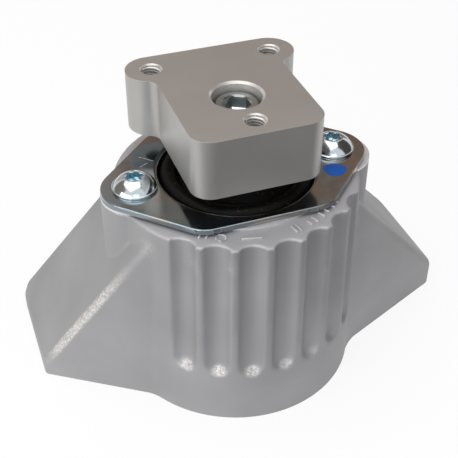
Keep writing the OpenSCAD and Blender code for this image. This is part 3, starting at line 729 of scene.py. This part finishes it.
def makeTopBlock(size):
    bm = mergedCopy("top_block")
    flattenFaces(bm)
    for x, y in size["holes"]:  # hole walls move out to the root, the coil brings the crest back
        centre = Vector((x, y, 0)) * mm
        for vert in bm.verts:
            away = (vert.co - centre).xy
            if abs(away.length - size["core"] * mm) < nearWall:
                vert.co.xy = centre.xy + away.normalized() * size["root"] * mm
                if vert.co.z > size["mouthAbove"] * mm:
                    vert.co.z = (size["top"] - size["mouthBelowTop"]) * mm
    for face in bm.faces:
        middle = face.calc_center_median().xy
        nearHole = any(
            (middle - Vector((x, y)) * mm).length < size["holeZone"] * mm
            for x, y in size["holes"])
        inBore = middle.length < size["boreZone"] * mm
        freshlyCut = abs(face.normal.z) < 0.95 and (nearHole or inBore)
        face.material_index = 1 if freshlyCut else 0
    bevelSharp(
        bm, size["edge"], degrees=40, segments=3,
        wanted=lambda e: not any(f.material_index for f in e.link_faces))
    shadeByAngle(bm, size["crease"])
    return keepFlatsFlat(
        addPiece(bm, "satinTopBlock", [blockMaterial, cutMaterial], ["top_block"]))


threadShape = {
    "rootHalf": 0.43, "crestHalf": 0.1,  # half widths, as shares of the pitch
    "sunk": 0.15, "steps": 24, "crease": 30,
}


def addThread(bm, x, y, top, bottom, size):  # one helical ridge inside a hole
    pitch, steps = size["pitch"], threadShape["steps"]
    half, crest = threadShape["rootHalf"] * pitch * mm, threadShape["crestHalf"] * pitch * mm
    outer, inner = (size["root"] + threadShape["sunk"]) * mm, size["core"] * mm
    start = Vector((x * mm, y * mm, (bottom + 0.5 * pitch) * mm))
    corners = [(outer, half), (inner, crest), (inner, -crest), (outer, -half)]
    verts = [bm.verts.new(start + Vector((r, 0, z))) for r, z in corners]
    first = bm.faces.new(verts)
    turns = (top - bottom - pitch) / pitch
    count = int(turns * steps)
    rise = Vector((0, 0, pitch * mm / steps))
    bmesh.ops.spin(
        bm, geom=[first] + list(first.edges) + verts, cent=start, axis=(0, 0, 1), dvec=rise,
        angle=2 * math.pi * count / steps, steps=count, use_merge=False, use_duplicate=False)


def makeThreads(name, size, holes, bottom, top):
    bm = bmesh.new()
    for x, y in holes:
        addThread(bm, x, y, top, bottom, size)
    bmesh.ops.recalc_face_normals(bm, faces=bm.faces)
    shadeByAngle(bm, threadShape["crease"])
    return addPiece(bm, name, [cutMaterial])


makeTopBlock(topBlock)
makeThreads("blockThreads", topBlock, topBlock["holes"],
            topBlock["bottom"], topBlock["top"] - topBlock["threadBelowTop"])
makeThreads("baseThreads", castBody, castBody["footHoles"],
            castBody["threadStart"], castBody["holeDepth"])

centreScrew = {
    "edge": 0.15, "crease": 35, "faceHeight": 144,
    "socket": 7.2, "socketFloor": 130, "mouth": 0.7,
    "turn": 30,  # a flat of the socket faces the back
}


def makeCentreScrew(size):
    bm = mergedCopy("centre_screw")
    flattenFaces(bm)
    for face in bm.faces:
        middle = face.calc_center_median()
        inSocket = middle.xy.length < size["socket"] * mm and (
            size["socketFloor"] * mm < middle.z < size["faceHeight"] * mm)
        face.material_index = 1 if inSocket else 0
    turn = Matrix.Rotation(math.radians(size["turn"]), 3, "Z")
    bmesh.ops.rotate(bm, verts=bm.verts, cent=(0, 0, 0), matrix=turn)
    flats = [  # the socket's upper edges, steeper than one radian, get a chamfered mouth
        e for e in bm.edges
        if e.calc_face_angle(0) > 1 and sorted(f.material_index for f in e.link_faces) == [0, 1]]
    bmesh.ops.bevel(
        bm, geom=flats, offset=size["mouth"] * mm, offset_type="OFFSET", affect="EDGES",
        segments=1, profile=0.5, material=2, clamp_overlap=True)
    bevelSharp(bm, size["edge"], degrees=35, segments=2)
    shadeByAngle(bm, size["crease"])
    return keepFlatsFlat(addPiece(
        bm, "socketHeadScrew",
        [capMaterial, socketMaterial, screwMaterial], ["centre_screw"]))


makeCentreScrew(centreScrew)
print("plate, screws and block made")

paintDot = {
    "x": 44.2, "y": -18.5, "surface": 111.48, "long": 5.6, "short": 5.3, "turn": -0.26,
    "thick": 0.1, "edge": 0.06, "crease": 60,
    "waves": [(0.05, 3, 0.6), (0.03, 5, 0)],  # the outline's swells: height, count and shift
}


def makePaintDot(size):
    bm = bmesh.new()
    bmesh.ops.create_circle(bm, cap_ends=True, radius=1, segments=40)
    for vert in bm.verts:
        angle = math.atan2(vert.co.y, vert.co.x)
        swell = sum((h * math.sin(count * angle + shift) for h, count, shift in size["waves"]), 1)
        vert.co = Vector((
            vert.co.x * size["long"] * swell, vert.co.y * size["short"] * swell, 0)) * mm
    turn = Matrix.Rotation(size["turn"], 3, "Z")
    bmesh.ops.rotate(bm, verts=bm.verts, cent=(0, 0, 0), matrix=turn)
    bmesh.ops.translate(
        bm, verts=bm.verts, vec=Vector((size["x"], size["y"], size["surface"])) * mm)
    raised = bmesh.ops.extrude_face_region(bm, geom=bm.faces[:])
    top = [v for v in raised["geom"] if isinstance(v, bmesh.types.BMVert)]
    bmesh.ops.translate(bm, verts=top, vec=(0, 0, size["thick"] * mm))
    bmesh.ops.recalc_face_normals(bm, faces=bm.faces)
    bevelSharp(bm, size["edge"], degrees=40, segments=2)
    shadeByAngle(bm, size["crease"])
    return addPiece(bm, "paintDot", [makePaint(paintLook)])


makePaintDot(paintDot)

innerFinishes = {
    "rubber_spring": rubberMaterial,
    "spring_core": coreMaterial,
    "locating_pin": pinMaterial,
    "support_sleeve": sleeveMaterial,
    "upper_channel_plate": channelMaterial,
    "lower_channel_plate": channelMaterial,
    "membrane": softMaterial,
    "sealing_ring": softMaterial,
    "bellows": softMaterial,
}
for nodeName, material in innerFinishes.items():
    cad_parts[nodeName].material_slots[0].material = material
print("inner parts finished")


# ---- studio, in metres

def addCard(name, width, height, place, aim, material):
    bm = bmesh.new()
    bmesh.ops.create_grid(bm, x_segments=1, y_segments=1, size=0.5)
    bmesh.ops.scale(bm, verts=bm.verts, vec=(width, height, 1))
    turn = (Vector(aim) - Vector(place)).to_track_quat("Z", "Y").to_matrix().to_4x4()
    bmesh.ops.transform(bm, matrix=Matrix.Translation(place) @ turn, verts=bm.verts)
    mesh = bpy.data.meshes.new(name)
    bm.to_mesh(mesh)
    bm.free()
    mesh.materials.append(material)
    card = bpy.data.objects.new(name, mesh)
    scene.collection.objects.link(card)
    return card


studioFloor = {
    "side": 12, "height": -0.0003, "paper": "#f2f2f2", "shown": 0.85,
    # in front of the mount, bounced light meets a darker cloth, which the camera doesn't see
    "cloth": "#6b6968", "clothFrom": -0.12, "clothFull": -0.15,
}


def makeFloorMaterial(look):
    # Matt white paper: even and bright, with the object's soft shadow, clear from below
    material = bpy.data.materials.new("paleStudioFloor")
    material.use_nodes = True
    tree = material.node_tree
    tree.nodes.clear()
    out = addNode(tree, "OutputMaterial")
    path = addNode(tree, "LightPath")
    place = addNode(tree, "TexCoord").outputs["Object"]
    depth = addNode(tree, "SeparateXYZ", {"Vector": place}).outputs["Y"]
    inFront = addNode(tree, "MapRange", {
        "Value": depth, "From Min": look["clothFrom"],
        "From Max": look["clothFull"]}).outputs["Result"]
    cloth = addNode(tree, "Math", {0: inFront, 1: path.outputs["Is Diffuse Ray"]},
                    operation="MULTIPLY").outputs["Value"]
    tint = addNode(tree, "Mix", {
        mixFactor: cloth, mixFirst: toLinear(look["paper"]), mixSecond: toLinear(look["cloth"])},
        data_type="RGBA").outputs[mixResult]
    paper = addNode(tree, "BsdfDiffuse", {"Color": tint})
    white = addNode(tree, "Emission", {"Color": (1, 1, 1, 1), "Strength": 1.0})
    seen = addNode(tree, "Math", {
        0: path.outputs["Is Camera Ray"], 1: path.outputs["Is Glossy Ray"]},
        operation="MAXIMUM").outputs["Value"]
    seen = addNode(tree, "Math", {0: seen, 1: path.outputs["Is Transmission Ray"]},
                   operation="MAXIMUM").outputs["Value"]
    share = addNode(tree, "Math", {0: seen, 1: look["shown"]},
                    operation="MULTIPLY").outputs["Value"]
    mixed = addNode(tree, "MixShader", {0: share, 1: paper.outputs[0], 2: white.outputs[0]})
    clear = addNode(tree, "BsdfTransparent")
    side = addNode(tree, "NewGeometry").outputs["Backfacing"]
    both = addNode(tree, "MixShader", {0: side, 1: mixed.outputs[0], 2: clear.outputs[0]})
    tree.links.new(both.outputs[0], out.inputs["Surface"])
    return material


def makeWallMaterial(name, colour):  # an evenly lit wall, which only the metal mirrors
    material = bpy.data.materials.new(name)
    material.use_nodes = True
    tree = material.node_tree
    tree.nodes.clear()
    out = addNode(tree, "OutputMaterial")
    glow = addNode(tree, "Emission", {"Color": toLinear(colour), "Strength": 1.0})
    tree.links.new(glow.outputs[0], out.inputs["Surface"])
    return material


addCard("studioFloor", studioFloor["side"], studioFloor["side"], (0, 0, studioFloor["height"]),
        (0, 0, 1), makeFloorMaterial(studioFloor))

# Flags outside the picture that the metal mirrors: a brown room and a dark mat in front
flags = {
    "beigeBackWall": {
        "width": 1.7, "height": 2.6, "colour": "#d2c4bb",
        "place": (-0.45, 2.2, 1.0), "aim": (-0.45, 0, 1.0)},
    "brownBackWall": {
        "width": 2.9, "height": 2.6, "colour": "#a08878",
        "place": (1.85, 2.2, 1.0), "aim": (1.85, 0, 1.0)},
    "brownLeftWall": {
        "width": 2.4, "height": 2.2, "colour": "#94877d",
        "place": (-1.9, 0.7, 0.9), "aim": (0, 0, 0.1)},
    "darkRightWall": {
        "width": 2.0, "height": 3.0, "colour": "#5a524d",
        "place": (1.6, -0.3, 0.9), "aim": (0, 0, 0.1)},
    "darkFrontMat": {
        "width": 2.0, "height": 0.6, "colour": "#6b6968",
        "place": (0.4, -0.42, 0.002), "aim": (0.4, -0.42, 1)},
}
for name, flag in flags.items():
    card = addCard(name, flag["width"], flag["height"], flag["place"], flag["aim"],
                   makeWallMaterial(name + "Paint", flag["colour"]))
    card.visible_camera = card.visible_diffuse = card.visible_shadow = False

lampAim = Vector((0, 0, 0.06))
lamps = {
    "softboxAbove": {
        "place": (-0.25, -0.05, 1.35), "size": 1.4, "power": 9.0, "colour": "#fffaf7"},
    "softboxLeft": {
        "place": (-1.2, -1.0, 0.45), "size": 0.8, "power": 6.3, "colour": "#ffffff"},
    "softboxFarLeft": {
        "place": (-1.5, -0.35, 0.45), "size": 0.7, "power": 5.4, "colour": "#ffffff"},
    "softboxFront": {
        "place": (-0.3, -1.6, 0.7), "size": 0.8, "power": 3.5, "colour": "#e8f0ff"},
    "softboxLow": {
        "place": (-0.9, -1.1, 0.12), "size": 0.4, "power": 2.4, "colour": "#ffffff"},
}
for name, lamp in lamps.items():
    light = bpy.data.lights.new(name, "AREA")
    light.shape, light.size, light.energy = "SQUARE", lamp["size"], lamp["power"]
    light.color = toLinear(lamp["colour"])[:3]
    holder = bpy.data.objects.new(name, light)
    scene.collection.objects.link(holder)
    holder.location = lamp["place"]
    holder.rotation_euler = (lampAim - Vector(lamp["place"])).to_track_quat("-Z", "Y").to_euler()

worldLight = {"colour": "#f2f2f4", "strength": 0.68}
world = bpy.data.worlds.new("studioAir")
scene.world = world
world.use_nodes = True
air = world.node_tree
air.nodes.clear()
airOut = addNode(air, "OutputWorld")
soft = addNode(air, "Background", {
    "Color": toLinear(worldLight["colour"]), "Strength": worldLight["strength"]})
shown = addNode(air, "Background", {"Color": (1, 1, 1, 1), "Strength": 1.0})
airPath = addNode(air, "LightPath")
airSeen = addNode(air, "Math", {
    0: airPath.outputs["Is Camera Ray"], 1: airPath.outputs["Is Glossy Ray"]},
    operation="MAXIMUM").outputs["Value"]
airSeen = addNode(air, "Math", {0: airSeen, 1: airPath.outputs["Is Transmission Ray"]},
                  operation="MAXIMUM").outputs["Value"]
airMix = addNode(air, "MixShader", {0: airSeen, 1: soft.outputs[0], 2: shown.outputs[0]})
air.links.new(airMix.outputs[0], airOut.inputs["Surface"])

cameraSetup = {
    "place": (-0.13149, -0.34980, 0.36607), "turn": (51.895, -0.170, -19.944),
    "lens": 72.99, "sensor": 36, "nearest": 0.01, "farthest": 50,
}
lens = bpy.data.cameras.new("studioCamera")
lens.lens, lens.sensor_width = cameraSetup["lens"], cameraSetup["sensor"]
lens.clip_start, lens.clip_end = cameraSetup["nearest"], cameraSetup["farthest"]
camera = bpy.data.objects.new("studioCamera", lens)
scene.collection.objects.link(camera)
camera.location = cameraSetup["place"]
camera.rotation_euler = [math.radians(a) for a in cameraSetup["turn"]]
scene.camera = camera

scene.view_settings.view_transform = "Standard"
print("studio made")
